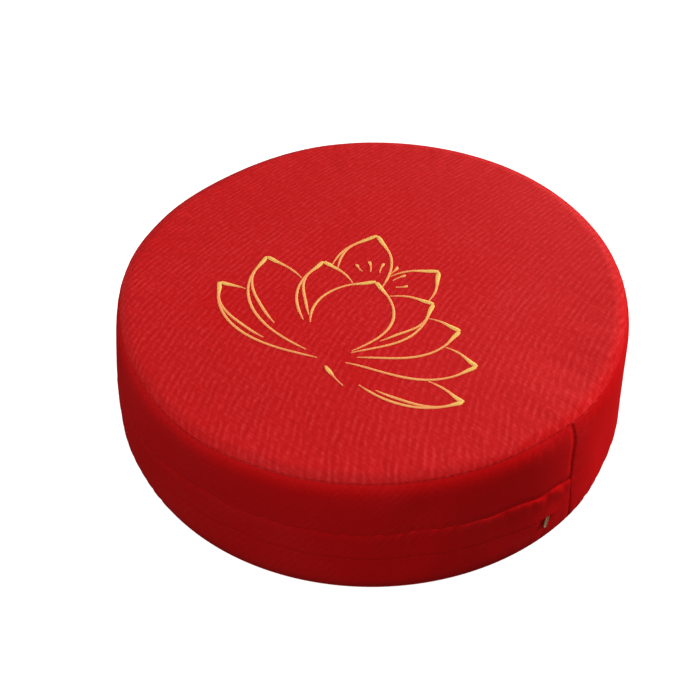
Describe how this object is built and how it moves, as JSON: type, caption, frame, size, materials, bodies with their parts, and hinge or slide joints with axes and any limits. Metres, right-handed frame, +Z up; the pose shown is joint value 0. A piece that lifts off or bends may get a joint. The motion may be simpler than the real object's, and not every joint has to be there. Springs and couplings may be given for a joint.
{
  "type": "round boxed floor cushion",
  "caption": "Round, firmly filled meditation cushion with flat faces, a straight side band and a flap over its zip.",
  "frame": {"origin": "on the surface it rests on, under the middle of the cushion", "axes": "+Z up through the middle, square to both faces; -Y is the front, where the zip side is, and the upright seam lies 46.5 degrees to its right, towards +X"},
  "size_m": [0.4017, 0.4017, 0.1201],
  "materials": {
    "cover_cloth": "red linen-look slub weave, matt",
    "zip_metal": "aged bronze plating, satin"
  },
  "bodies": {
    "root": {"filled_cushion": "cover_cloth", "top_panel": "cover_cloth", "bottom_panel": "cover_cloth", "zip_side_upper": "cover_cloth", "zip_side_flap": "cover_cloth", "zip_side_lower": "cover_cloth", "zip_pull": "zip_metal"}
  },
  "joints": []
}
